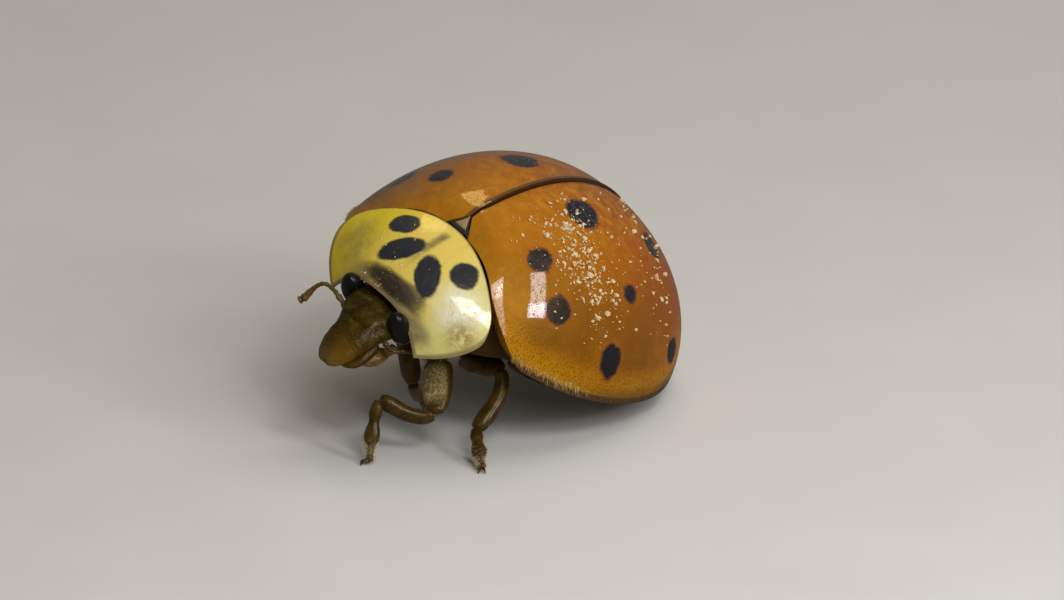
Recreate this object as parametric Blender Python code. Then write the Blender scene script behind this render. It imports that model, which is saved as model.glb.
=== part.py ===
"""A harlequin ladybird, orange spotted form, standing as a life-size still model.

Sizes are given in millimetres and turned into metres as the meshes are made.
The beetle faces -Y, its left side is +X and the floor is at Z = 0.

Three frames are used:
  body   origin between the wing cases, on the plane of their lower margins
         (x to its left, y to its tail, z to its back)
  head   the same axes, tipped forward about the point between the eyes
  floor  the model's own frame, in which the knees and the feet are placed
"""
import math

import bmesh
import bpy
import numpy as np
from mathutils import Matrix, Vector

MM = 0.001
GAP = 0.012                    # clearance left between neighbouring solids

# stance of the body over the floor
BODY_ROLL = math.radians(21.6)      # leans towards its left
BODY_PITCH = math.radians(-15.9)    # tail low
BODY_HEIGHT = 1.65

# wing cases: one dome, split along the back
DOME_HALF_WIDTH = 2.85
DOME_FRONT = 3.218                  # from the widest place to the front of the full outline
DOME_REAR = 3.006
DOME_WIDEST = 0.364
DOME_HEIGHT = 2.551
OUTLINE_POWER = 2.162
PROFILE_POWER = 2.068
PROFILE_ROOT = 1.681
SHOULDER_SLOPE = 0.7                # how much less full the dome is at its shoulders
MARGIN_LIFT = 0.043                 # the margin curves up towards both ends
MARGIN_LOWEST = 0.454
CASE_THICKNESS = 0.5
TAIL_CUT = 0.002                    # the last row stops this short of the dome's tail
CASE_BASE = -2.09                   # where the wing cases start, at the middle
CASE_BASE_SWEEP = 0.23              # how much further forward the shoulders start
SCUTELLUM_HALF_WIDTH = 0.24
SCUTELLUM_LENGTH = 0.19
SCUTELLUM_HEIGHTS = (1.54, 1.80)    # at its base and at its point
SCUTELLUM_THICKNESS = 0.14

# pronotum: a shield tipped forward in front of the wing cases
SHIELD_BASE = (-2.09, 1.53)         # y, z of the middle of its hind edge
SHIELD_TIP = math.radians(47.0)
SHIELD_HALF_WIDTH = 1.79
SHIELD_FRONT_HALF_WIDTH = 1.03
SHIELD_TAPER_POWER = 2.34
SHIELD_HIND_CURVE = 0.856           # how far forward the hind corners sit
SHIELD_LENGTH = 1.70
SHIELD_FRONT_CURVE = 0.275          # how far the front corners reach past the middle
SHIELD_FRONT_POWER = 3.2
SHIELD_DROP = (0.41, 0.59)          # how far the sides hang, at the hind and front edges
SHIELD_DROP_POWER = 2.65
SHIELD_BULGE = 0.16
SHIELD_THICKNESS = (0.34, 0.06)     # at the hind and the front edge

# trunk
BELLY = -0.36
BELLY_FLAT = 0.75                   # half-width of the flat of the belly
BELLY_SLOPE = 0.45                  # width over which the sides rise to the margin
BELLY_RISE = 0.34                   # how far it comes up towards the tail
BELLY_RISE_LENGTH = 2.4
BELLY_INSET = 0.06                  # from the margin of the wing cases down to its sides
PROTHORAX_SPREAD = 0.62             # share of the pronotum's width that it carries
PROTHORAX_DEPTH = (0.06, 0.66)      # where it starts and ends along the pronotum
PROTHORAX_HALF_WIDTH = 0.95         # at the belly
PROTHORAX_FOOT = (-1.56, -2.25)     # y of its lower edges
THORAX_START = -1.92
THORAX_END = 0.5
THORAX_SETBACK = 0.42               # its front slopes back by this much below
LINING = CASE_THICKNESS + 2 * GAP   # the trunk's depth under the dome
TRUNK_TAIL = 0.05                   # the trunk stops this short of the lining's tail

# head
HEAD_CENTRE = (-3.10, -0.03)        # y, z of the point between the eyes
HEAD_TIP = math.radians(49.1)
# distance forward of the eyes, half-width, top, bottom
HEAD_STATIONS = (
    (-0.46, 0.50, 0.00, -0.42),
    (-0.25, 0.62, 0.10, -0.45),
    (0.00, 0.66, 0.22, -0.43),
    (0.25, 0.60, 0.29, -0.32),
    (0.50, 0.50, 0.30, -0.20),
    (0.68, 0.43, 0.26, -0.14),
)
LABRUM_STATIONS = (
    (0.70, 0.42, 0.24, -0.12),
    (0.92, 0.43, 0.20, -0.12),
    (1.10, 0.38, 0.14, -0.10),
    (1.23, 0.26, 0.08, -0.08),
    (1.31, 0.10, 0.02, -0.05),
)
EYE_CENTRE = (0.58, 0.0, -0.02)
EYE_RADII = (0.21, 0.20, 0.40)

# feelers, as solid tubes that hold the thin real ones (body frame)
FEELER_RADIUS = 0.25
ANTENNA_PATHS = {
    "right": ((-0.62, -3.42, -0.42), (-0.98, -3.43, -0.37), (-1.22, -3.47, -0.50), (-1.30, -3.50, -0.78)),
    "left": ((0.66, -3.36, -0.50), (0.90, -2.98, -0.62), (0.95, -2.78, -0.63)),
}
PALP_RADIUS = 0.19
PALP_PATH = ((0.46, -0.20, -0.56), (0.41, -0.45, -0.46), (0.37, -0.68, -0.38))   # head frame

# legs: hip and trochanter in the body frame, the rest in the floor frame
FEMUR_RADIUS = 0.26
TIBIA_RADIUS = 0.25
TARSUS_RADIUS = 0.25
LEGS = {
    "fore_left": dict(
        hip=(0.55, -1.85, BELLY), trochanter=(0.68, -1.87, -0.56),
        tibia=((0.97, -2.64, 0.77), (0.59, -2.96, 0.77), (0.20, -3.18, 0.96)),
        toe=(0.36, -3.64, 0.0)),
    "fore_right": dict(
        hip=(-0.55, -1.85, BELLY), trochanter=(-0.42, -1.87, -0.66),
        tibia=((-0.05, -2.06, 0.87), (-0.25, -1.50, 0.42)),
        toe=(-0.30, -1.15, 0.0)),
    "mid_left": dict(
        hip=(0.52, -0.95, BELLY), trochanter=(0.64, -1.00, -0.68),
        tibia=((1.33, -1.43, 1.24), (1.46, -1.62, 0.88), (1.42, -2.17, 0.43)),
        toe=(1.98, -2.68, 0.0)),
    "mid_right": dict(
        hip=(-0.52, -0.95, BELLY), trochanter=(-0.64, -1.00, -0.66),
        tibia=((-1.60, -0.60, 1.25), (-1.80, 0.30, 0.55)),
        toe=(-1.90, 0.80, 0.0)),
    "hind_left": dict(
        hip=(0.52, 0.20, BELLY), trochanter=(0.66, 0.25, -0.64),
        tibia=((1.25, 0.20, 0.56), (1.48, 1.10, 0.38)),
        toe=(1.20, 1.60, 0.0)),
    "hind_right": dict(
        hip=(-0.52, 0.20, BELLY), trochanter=(-0.64, 0.25, -0.66),
        tibia=((-1.70, 1.00, 1.20), (-1.90, 1.90, 0.55)),
        toe=(-1.90, 2.45, 0.0)),
}

# mesh fineness
SHARP_EDGE = math.radians(40)
TAIL_CROWDING = 0.8            # how much closer together the rows are near the tail
CASE_COLUMNS = 12
CASE_ROWS = 15
SWEEP_STEPS = 40               # turns taken to settle a swept row on the outline
SHIELD_COLUMNS = 18
SHIELD_ROWS = 10
TRUNK_COLUMNS = 12
TRUNK_ROWS = 7
HEAD_SIDES = 24
TUBE_SIDES = 10

COLOURS = {
    # colour, roughness
    "wing_case": ((0.78, 0.24, 0.015), 0.25),
    "shield": ((0.80, 0.68, 0.22), 0.3),
    "black": ((0.015, 0.015, 0.02), 0.15),
    "face": ((0.24, 0.13, 0.03), 0.35),
    "limb": ((0.40, 0.20, 0.05), 0.4),
    "underside": ((0.20, 0.10, 0.03), 0.5),
}


# ---------------------------------------------------------------- scene helpers

def clear_scene():
    for thing in list(bpy.data.objects):
        bpy.data.objects.remove(thing, do_unlink=True)


def material(name, kind):
    colour, roughness = COLOURS[kind]
    made = bpy.data.materials.new(name)
    made.use_nodes = True
    shader = made.node_tree.nodes["Principled BSDF"]
    shader.inputs["Base Color"].default_value = (*colour, 1.0)
    shader.inputs["Roughness"].default_value = roughness
    shader.inputs["Metallic"].default_value = 0.0
    return made


def empty(name, parent=None, location=(0, 0, 0), rotation=(0, 0, 0)):
    made = bpy.data.objects.new(name, None)
    made.empty_display_size = MM
    made.parent = parent
    made.location = Vector(location) * MM
    made.rotation_mode = "YXZ"
    made.rotation_euler = rotation
    bpy.context.collection.objects.link(made)
    return made


def add_object(name, bm, kind, parent):
    """Turn a bmesh in millimetres into a smooth-shaded object in metres."""
    bmesh.ops.scale(bm, vec=(MM, MM, MM), verts=bm.verts)
    bmesh.ops.recalc_face_normals(bm, faces=bm.faces)
    mesh = bpy.data.meshes.new(name)
    bm.to_mesh(mesh)
    bm.free()
    mesh.shade_smooth()
    mesh.set_sharp_from_angle(angle=SHARP_EDGE)
    made = bpy.data.objects.new(name, mesh)
    made.parent = parent
    if kind:
        made.data.materials.append(material(name, kind))
    bpy.context.collection.objects.link(made)
    return made


# ---------------------------------------------------------------- mesh helpers

def slab(bm, outer, inner):
    """Close two grids of points of one size into a solid plate."""
    rows, columns = outer.shape[:2]
    top = [[bm.verts.new(p) for p in row] for row in outer]
    low = [[bm.verts.new(p) for p in row] for row in inner]
    for i in range(rows - 1):
        for j in range(columns - 1):
            bm.faces.new((top[i][j], top[i][j + 1], top[i + 1][j + 1], top[i + 1][j]))
            bm.faces.new((low[i][j], low[i + 1][j], low[i + 1][j + 1], low[i][j + 1]))
    border = [(0, j) for j in range(columns)]
    border += [(i, columns - 1) for i in range(1, rows)]
    border += [(rows - 1, j) for j in range(columns - 2, -1, -1)]
    border += [(i, 0) for i in range(rows - 2, 0, -1)]
    for (i, j), (k, m) in zip(border, border[1:] + border[:1]):
        bm.faces.new((top[i][j], low[i][j], low[k][m], top[k][m]))


def loft(bm, rings):
    """Skin a run of rings of equal size and close both ends."""
    loops = [[bm.verts.new(p) for p in ring] for ring in rings]
    count = len(loops[0])
    for first, second in zip(loops, loops[1:]):
        for i in range(count):
            j = (i + 1) % count
            bm.faces.new((first[i], first[j], second[j], second[i]))
    bm.faces.new(loops[0][::-1])
    bm.faces.new(loops[-1])


def oval_ring(forward, half_width, top, bottom, sides, squareness=2.3):
    """A rounded cross-section at one distance along the head."""
    middle = (top + bottom) / 2
    half_height = (top - bottom) / 2
    ring = []
    for i in range(sides):
        angle = 2 * math.pi * (i + 0.5) / sides
        across = math.copysign(abs(math.cos(angle)) ** (2 / squareness), math.cos(angle))
        upward = math.copysign(abs(math.sin(angle)) ** (2 / squareness), math.sin(angle))
        ring.append(Vector((half_width * across, -forward, middle + half_height * upward)))
    return ring


def tube_rings(path, radius, start_normal=None, end_normal=None, start_gap=0.0, end_gap=0.0):
    """Rings of a round tube that is mitred at its bends and cut square to the given end normals."""
    points = [Vector(p) for p in path]
    runs = [(b - a).normalized() for a, b in zip(points, points[1:])]
    side = runs[0].orthogonal().normalized()
    rings = []
    for i, point in enumerate(points):
        run = runs[min(i, len(runs) - 1)]
        before = runs[max(i - 1, 0)]
        normal = (run + before).normalized()
        if i == 0 and start_normal:
            normal = start_normal
        if i == len(points) - 1 and end_normal:
            normal = end_normal
        if i == 0:
            point = point + normal * (start_gap / normal.length)
        if i == len(points) - 1:
            point = point - normal * (end_gap / normal.length)
        along = before if i else run
        side = (side - along * side.dot(along)).normalized()
        other = along.cross(side)
        ring = []
        for k in range(TUBE_SIDES):
            angle = 2 * math.pi * k / TUBE_SIDES
            spoke = (side * math.cos(angle) + other * math.sin(angle)) * radius
            ring.append(point + spoke - along * (spoke.dot(normal) / along.dot(normal)))
        rings.append(ring)
    return rings


def rounded_end(rings, path, radius):
    """Add a blunt round tip to a run of tube rings."""
    run = (Vector(path[-1]) - Vector(path[-2])).normalized()
    last = rings[-1]
    centre = sum(last, Vector()) / len(last)
    for turn in (35, 65):
        lift = run * radius * math.sin(math.radians(turn))
        rings.append([centre + (p - centre) * math.cos(math.radians(turn)) + lift for p in last])
    return rings


# ---------------------------------------------------------------- shapes of the body

def margin_height(y):
    return MARGIN_LIFT * (y - MARGIN_LOWEST) ** 2


def dome_reach(y, inset):
    """Length of the dome's outline on the side of its widest place where y lies."""
    return np.where(y < DOME_WIDEST, DOME_FRONT, DOME_REAR) - inset


def margin_half_width(y, inset=0.0):
    along = np.abs(y - DOME_WIDEST) / dome_reach(y, inset)
    inside = np.clip(1 - along ** OUTLINE_POWER, 0, 1)
    return (DOME_HALF_WIDTH - inset) * inside ** (1 / OUTLINE_POWER)


def dome_height(x, y, inset=0.0):
    across = np.abs(x) / (DOME_HALF_WIDTH - inset)
    along = np.abs(y - DOME_WIDEST) / dome_reach(y, inset)
    edge = np.clip(across ** OUTLINE_POWER + along ** OUTLINE_POWER, 0, 1) ** (1 / OUTLINE_POWER)
    shoulder = np.clip((DOME_WIDEST - y) / DOME_FRONT, 0, 1) * across
    root = PROFILE_ROOT - SHOULDER_SLOPE * np.clip(shoulder, 0, 1)
    crown = np.clip(1 - edge ** PROFILE_POWER, 0, 1) ** (1 / root)
    return (DOME_HEIGHT - inset) * crown + margin_height(y) * edge ** 2


def dome_grid(columns, rows, start, end, inset, first=GAP, last=1.0):
    """Points on the dome; start(x) gives the y of the first row, and columns run from the middle out."""
    grid = np.zeros((rows, columns, 3))
    across = first + (last - first) * np.sin(np.linspace(0, math.pi / 2, columns))
    even = np.linspace(0, 1, rows)
    crowded = np.sin((1 - np.cos(even * math.pi / 2)) * math.pi / 2)
    for i, along in enumerate((1 - TAIL_CROWDING) * even + TAIL_CROWDING * crowded):
        straight = start(0.0) + (end - start(0.0)) * along
        y = np.full(columns, straight)
        for _ in range(SWEEP_STEPS):
            x = across * margin_half_width(y, inset)
            y = (y + straight + (start(x) - start(0.0)) * (1 - along) ** 3) / 2
        grid[i, :, 0] = x
        grid[i, :, 1] = y
        grid[i, :, 2] = dome_height(x, y, inset)
    return grid


def case_base(x):
    """The front edge of the wing cases, with the notch for the scutellum."""
    notch = SCUTELLUM_LENGTH * np.clip(1 - np.abs(x) / (SCUTELLUM_HALF_WIDTH + GAP), 0, 1)
    sweep = CASE_BASE_SWEEP * (np.abs(x) / SHIELD_HALF_WIDTH) ** 2
    return CASE_BASE + GAP - sweep + notch + GAP * (notch > 0)


def shield_point(u, v, lowered=0.0):
    """A place on the pronotum: u across from -1 to 1, v from the hind edge to the front."""
    spread = np.abs(u)
    taper = (SHIELD_HALF_WIDTH - SHIELD_FRONT_HALF_WIDTH) * v ** SHIELD_TAPER_POWER
    hind = SHIELD_HIND_CURVE * spread ** 2
    front = SHIELD_LENGTH + SHIELD_FRONT_CURVE * spread ** SHIELD_FRONT_POWER
    forward = (1 - v) * hind + v * front
    drop = SHIELD_DROP[0] + (SHIELD_DROP[1] - SHIELD_DROP[0]) * v
    lift = SHIELD_BULGE * np.sin(math.pi * v) * (1 - u ** 2) - drop * spread ** SHIELD_DROP_POWER
    y = SHIELD_BASE[0] - forward * math.cos(SHIELD_TIP) - lift * math.sin(SHIELD_TIP)
    z = SHIELD_BASE[1] - forward * math.sin(SHIELD_TIP) + lift * math.cos(SHIELD_TIP)
    return np.stack(((SHIELD_HALF_WIDTH - taper) * u, y, z - lowered), axis=-1)


def shield_thickness(u, v):
    hind, front = SHIELD_THICKNESS
    body = front + (hind - front) * (1 - v)
    return front + (body - front) * (1 - u ** 4)


def smooth_step(t):
    t = np.clip(t, 0, 1)
    return t * t * (3 - 2 * t)


def belly_height(x, y):
    """The underside: flat along the middle, rising at the sides and towards the tail."""
    middle = BELLY + BELLY_RISE * smooth_step((y - THORAX_END) / BELLY_RISE_LENGTH)
    rim = margin_height(y) - BELLY_INSET
    return middle + (rim - middle) * smooth_step((np.abs(x) - BELLY_FLAT) / BELLY_SLOPE)


# ---------------------------------------------------------------- the sub-parts

def build_wing_cases(body):
    tail = DOME_WIDEST + DOME_REAR
    for name, side in (("left", 1), ("right", -1)):
        outer = dome_grid(CASE_COLUMNS, CASE_ROWS, case_base, tail - TAIL_CUT, 0.0)
        inner = dome_grid(CASE_COLUMNS, CASE_ROWS, case_base, tail - TAIL_CUT - CASE_THICKNESS,
                          CASE_THICKNESS)
        inner[:, 0, 0] = outer[:, 0, 0] = GAP
        for grid in (outer, inner):
            grid[:, :, 0] *= side
        bm = bmesh.new()
        slab(bm, outer, inner)
        add_object(f"elytron_{name}", bm, "wing_case", body)


def build_scutellum(body):
    base = CASE_BASE + 2 * GAP
    apex = base + SCUTELLUM_LENGTH - 2 * GAP
    low, high = SCUTELLUM_HEIGHTS
    top = [(-SCUTELLUM_HALF_WIDTH, base, low), (SCUTELLUM_HALF_WIDTH, base, low), (0, apex, high)]
    bm = bmesh.new()
    loft(bm, [top, [(x, y, z - SCUTELLUM_THICKNESS) for x, y, z in top]])
    add_object("scutellum", bm, "shield", body)


def build_pronotum(body):
    u, v = np.meshgrid(np.sin(np.linspace(-math.pi / 2, math.pi / 2, SHIELD_COLUMNS)),
                       np.linspace(0, 1, SHIELD_ROWS))
    bm = bmesh.new()
    slab(bm, shield_point(u, v), shield_point(u, v, shield_thickness(u, v)))
    return add_object("pronotum", bm, "shield", body)


def build_prothorax(body):
    """The block under the pronotum that carries the head and the fore legs."""
    u, v = np.meshgrid(np.linspace(-PROTHORAX_SPREAD, PROTHORAX_SPREAD, TRUNK_COLUMNS),
                       np.linspace(*PROTHORAX_DEPTH, TRUNK_ROWS))
    top = shield_point(u, v, shield_thickness(u, v) + 2 * GAP)
    bottom = np.zeros_like(top)
    bottom[..., 0] = u / PROTHORAX_SPREAD * PROTHORAX_HALF_WIDTH
    bottom[..., 1] = np.interp(v, PROTHORAX_DEPTH, PROTHORAX_FOOT)
    bottom[..., 2] = BELLY
    bm = bmesh.new()
    slab(bm, top, bottom)
    add_object("prothorax", bm, "underside", body)


def trunk_block(name, body, first, last, setback=0.0):
    """A length of trunk between the dome's lining and the belly, whose front can slope back below."""
    along = np.linspace(0, 1, TRUNK_ROWS)[:, None]
    across = np.sin(np.linspace(-math.pi / 2, math.pi / 2, TRUNK_COLUMNS))[None, :]
    y = first + (last - first) * along + 0 * across
    x = across * margin_half_width(y, LINING)
    lower_y = y + setback * (1 - along) * (1 - across ** 2)
    top = np.stack((x, y, dome_height(x, y, LINING)), axis=-1)
    bottom = np.stack((x, lower_y, belly_height(x, lower_y)), axis=-1)
    bm = bmesh.new()
    slab(bm, top, bottom)
    add_object(name, bm, "underside", body)


def build_trunk(body):
    tail = DOME_WIDEST + DOME_REAR - LINING
    trunk_block("thorax", body, THORAX_START, THORAX_END, THORAX_SETBACK)
    trunk_block("abdomen", body, THORAX_END + GAP, tail - TRUNK_TAIL)


def build_head(head, pronotum):
    bm = bmesh.new()
    loft(bm, [oval_ring(*station, HEAD_SIDES) for station in HEAD_STATIONS])
    skull = add_object("head", bm, "face", head)
    bm = bmesh.new()
    loft(bm, [oval_ring(*station, HEAD_SIDES) for station in LABRUM_STATIONS])
    add_object("labrum", bm, "face", head)
    for name, side in (("left", 1), ("right", -1)):
        centre = (EYE_CENTRE[0] * side, *EYE_CENTRE[1:])
        seat = eye_ball(f"eye_seat_{name}", centre, 2 * GAP, None, head)
        seat.hide_render = True
        seat.display_type = "WIRE"
        eye_ball(f"eye_{name}", centre, 0.0, "black", head)
        for holder in (skull, pronotum):
            cut = holder.modifiers.new(f"seat_{name}", "BOOLEAN")
            cut.operation = "DIFFERENCE"
            cut.solver = "EXACT"
            cut.object = seat
        bm = bmesh.new()
        path = [(x * side, y, z) for x, y, z in PALP_PATH]
        loft(bm, rounded_end(tube_rings(path, PALP_RADIUS), path, PALP_RADIUS))
        add_object(f"palp_{name}", bm, "limb", head)


def eye_ball(name, centre, swell, kind, parent):
    bm = bmesh.new()
    bmesh.ops.create_uvsphere(bm, u_segments=14, v_segments=9, radius=1.0)
    bmesh.ops.scale(bm, vec=[r + swell for r in EYE_RADII], verts=bm.verts)
    bmesh.ops.translate(bm, vec=centre, verts=bm.verts)
    return add_object(name, bm, kind, parent)


def build_antennae(body):
    for name, path in ANTENNA_PATHS.items():
        side = Vector((1 if name == "left" else -1, 0, 0))
        rings = tube_rings(path, FEELER_RADIUS, start_normal=side)
        bm = bmesh.new()
        loft(bm, rounded_end(rings, path, FEELER_RADIUS))
        add_object(f"antenna_{name}", bm, "limb", body)


def build_leg(name, plan, body_pose, floor):
    """One leg in three pieces, mitred where they meet and cut flat on the floor."""
    hip = body_pose @ Vector(plan["hip"])
    trochanter = body_pose @ Vector(plan["trochanter"])
    belly_normal = (body_pose.to_3x3() @ Vector((0, 0, -1))).normalized()
    tibia = [Vector(p) for p in plan["tibia"]]
    knee, ankle, toe = tibia[0], tibia[-1], Vector(plan["toe"])
    knee_cut = ((knee - trochanter).normalized() + (tibia[1] - knee).normalized()).normalized()
    ankle_cut = ((ankle - tibia[-2]).normalized() + (toe - ankle).normalized()).normalized()
    pieces = (
        ("femur", (hip, trochanter, knee), FEMUR_RADIUS, belly_normal, knee_cut, GAP, GAP / 2),
        ("tibia", tibia, TIBIA_RADIUS, knee_cut, ankle_cut, GAP / 2, GAP / 2),
        ("tarsus", (ankle, toe), TARSUS_RADIUS, ankle_cut, Vector((0, 0, -1)), GAP / 2, 0.0),
    )
    for piece, path, radius, first, last, first_gap, last_gap in pieces:
        bm = bmesh.new()
        loft(bm, tube_rings(path, radius, first, last, first_gap, last_gap))
        add_object(f"{piece}_{name}", bm, "limb", floor)


def centre_on_floor(floor):
    """Slide the whole animal so that the middle of its box is over the origin."""
    bpy.context.view_layer.update()
    corners = [thing.matrix_world @ vertex.co for thing in bpy.data.objects
               if thing.type == "MESH" and not thing.hide_render for vertex in thing.data.vertices]
    for axis in (0, 1):
        places = [corner[axis] for corner in corners]
        floor.location[axis] -= (min(places) + max(places)) / 2
    bpy.context.view_layer.update()


def build():
    clear_scene()
    floor = empty("ladybird")
    body = empty("body_frame", floor, (0, 0, BODY_HEIGHT), (BODY_PITCH, BODY_ROLL, 0))
    head = empty("head_frame", body, (0, *HEAD_CENTRE), (HEAD_TIP, 0, 0))
    body_pose = (Matrix.Translation((0, 0, BODY_HEIGHT)) @ Matrix.Rotation(BODY_PITCH, 4, "X")
                 @ Matrix.Rotation(BODY_ROLL, 4, "Y"))
    build_wing_cases(body)
    build_scutellum(body)
    pronotum = build_pronotum(body)
    build_prothorax(body)
    build_trunk(body)
    build_head(head, pronotum)
    build_antennae(body)
    for name, plan in LEGS.items():
        build_leg(name, plan, body_pose, floor)
    centre_on_floor(floor)


build()
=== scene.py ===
"""The looks of a harlequin ladybird, orange spotted form, built over its solids.

Pieces are modelled in millimetres, in the frame of the body, the head, the shield or
the floor, and are then brought to the model's own frame, in metres.
"""

import functools
import math

import bmesh
import bpy
import numpy as np
from mathutils import Matrix, Vector


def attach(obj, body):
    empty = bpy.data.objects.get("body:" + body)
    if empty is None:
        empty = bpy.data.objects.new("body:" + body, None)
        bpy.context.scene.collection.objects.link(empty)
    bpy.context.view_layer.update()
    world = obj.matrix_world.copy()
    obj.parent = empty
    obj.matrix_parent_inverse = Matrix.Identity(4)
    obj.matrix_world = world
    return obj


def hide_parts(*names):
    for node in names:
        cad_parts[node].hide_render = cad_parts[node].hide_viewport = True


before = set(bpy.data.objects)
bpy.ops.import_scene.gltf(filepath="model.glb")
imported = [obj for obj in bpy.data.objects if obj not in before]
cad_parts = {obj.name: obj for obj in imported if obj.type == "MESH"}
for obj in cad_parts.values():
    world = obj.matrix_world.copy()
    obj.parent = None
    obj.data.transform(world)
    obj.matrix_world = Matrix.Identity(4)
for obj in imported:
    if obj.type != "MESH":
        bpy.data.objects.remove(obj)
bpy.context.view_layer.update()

MM = 0.001
MIDDLE = Vector((-0.0523, 0.35515, 1.65))      # where the body's own origin stands over the floor
BODY = (Matrix.Translation(MIDDLE) @ Matrix.Rotation(math.radians(-15.9), 4, "X")
        @ Matrix.Rotation(math.radians(21.6), 4, "Y"))
HEAD = BODY @ Matrix.Translation((0, -3.1, -0.03)) @ Matrix.Rotation(math.radians(49.1), 4, "X")
SHIELD = BODY @ Matrix.Translation((0, -2.09, 1.53)) @ Matrix.Rotation(math.radians(47.0), 4, "X")
FLOOR = Matrix.Translation((MIDDLE.x, MIDDLE.y, 0))
LEFT, RIGHT = 1, -1
SIDES = {"left": LEFT, "right": RIGHT}
UPWARD = (0, 0, 1)

chance = np.random.default_rng(7)


# ---------------------------------------------------------------- modelling helpers

def start(piece=None):
    """Select nothing but the piece that is worked on next."""
    bpy.ops.object.select_all(action="DESELECT")
    if piece:
        piece.select_set(True)
        bpy.context.view_layer.objects.active = piece


def edit(piece, *tools):
    """Use tools one after another on all of a piece in edit mode."""
    start(piece)
    bpy.ops.object.mode_set(mode="EDIT")
    bpy.ops.mesh.select_all(action="SELECT")
    for tool in tools:
        tool()
    bpy.ops.object.mode_set(mode="OBJECT")


def face_outwards(piece):
    edit(piece, lambda: bpy.ops.mesh.normals_make_consistent(inside=False))


def place_new(name, data):
    made = bpy.data.objects.new(name, data)
    bpy.context.collection.objects.link(made)
    return made


def add(primitive, **settings):
    """A new basic mesh about the origin, which the modelling then bends to its shape."""
    start()
    primitive(**settings)
    return bpy.context.object


def points_of(piece, what="co"):
    """Where the points of a piece are, or their normals, as rows of three."""
    rows = np.empty((len(piece.data.vertices), 3))
    piece.data.vertices.foreach_get(what, rows.ravel())
    return rows


def move_points(piece, points):
    piece.data.vertices.foreach_set("co", np.asarray(points, float).ravel())
    piece.data.update()


def lay_out(mesh, layer, places):
    """Give every corner of a mesh's faces its point's place in a flat layout."""
    corners = [loop.vertex_index for loop in mesh.loops]
    layer.data.foreach_set("uv", places[corners].astype(np.float32).ravel())


def sculpt(piece, depth):
    """Push the surface out or in along its normals; depth(points) is in millimetres."""
    points = points_of(piece)
    move_points(piece, points + points_of(piece, "normal") * np.asarray(depth(points))[:, None])


def give_wall(piece, thickness, edge, segments=3, angle=50, thick_where=""):
    """Give a sheet its thickness inwards, and round the edges that this leaves."""
    wall = piece.modifiers.new("wall", "SOLIDIFY")
    wall.thickness, wall.offset, wall.vertex_group = thickness, -1, thick_where
    bevel = piece.modifiers.new("bevel", "BEVEL")
    bevel.width, bevel.segments = edge, segments
    bevel.limit_method, bevel.angle_limit = "ANGLE", math.radians(angle)
    start(piece)
    for modifier in (wall, bevel):
        bpy.ops.object.modifier_apply(modifier=modifier.name)


def join(pieces):
    start(pieces[0])
    for piece in pieces:
        piece.select_set(True)
    bpy.ops.object.join()
    return pieces[0]


def deliver(piece, name, place, finish, slot, *replaces, sharp=None):
    """Bring a piece from its own frame to the model's, dress it and hand it over."""
    piece.name = piece.data.name = name
    piece.data.transform(Matrix.Scale(MM, 4) @ place)
    piece.data.materials.append(finish)
    start(piece)
    if sharp is None:
        bpy.ops.object.shade_smooth()
    else:
        bpy.ops.object.shade_smooth_by_angle(angle=math.radians(sharp))
    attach(piece, "root")
    if replaces:
        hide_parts(*replaces)


def grid(columns, rows):
    """A flat grid, with how far across and along it each of its points lies, from 0 to 1."""
    piece = add(bpy.ops.mesh.primitive_grid_add, x_subdivisions=columns, y_subdivisions=rows, size=2)
    flat = (points_of(piece) + 1) / 2
    return piece, flat[:, 0], flat[:, 1]


def tube(sides, cuts):
    """A closed cylinder cut into rings: the turn, the reach from its axis and the place along it."""
    piece = add(bpy.ops.mesh.primitive_cylinder_add, vertices=sides, radius=1, depth=2, end_fill_type="TRIFAN")
    bpy.ops.object.mode_set(mode="EDIT")
    bpy.ops.mesh.select_all(action="DESELECT")
    wires = bmesh.from_edit_mesh(piece.data)
    for edge in wires.edges:
        edge.select_set(abs(edge.verts[0].co.z - edge.verts[1].co.z) > 1)
    bmesh.update_edit_mesh(piece.data)
    bpy.ops.mesh.subdivide(number_cuts=cuts)
    bpy.ops.object.mode_set(mode="OBJECT")
    co = points_of(piece)
    return piece, np.arctan2(co[:, 1], co[:, 0]), np.hypot(co[:, 0], co[:, 1]), (co[:, 2] + 1) / 2


def unit(vectors):
    return vectors / np.maximum(np.linalg.norm(vectors, axis=-1, keepdims=True), 1e-9)


def flow(keys, t):
    """A smooth run through a list of points or sizes, read at the places t from 0 to 1."""
    keys = np.asarray(keys, float)
    if keys.ndim == 1:
        keys = keys[:, None]
    span = np.clip(np.asarray(t), 0, 1) * (len(keys) - 1)
    i = np.clip(span.astype(int), 0, len(keys) - 2)
    f = (span - i)[:, None]
    p0, p1 = keys[np.maximum(i - 1, 0)], keys[i]
    p2, p3 = keys[i + 1], keys[np.minimum(i + 2, len(keys) - 1)]
    return 0.5 * (2 * p1 + (p2 - p0) * f + (2 * p0 - 5 * p1 + 4 * p2 - p3) * f ** 2
                  + (3 * p1 - p0 - 3 * p2 + p3) * f ** 3)


# a limb's ends are drawn in over this share of their radius, down to this share of it
END_REACH, END_SHARE = 0.65, 0.38


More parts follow.
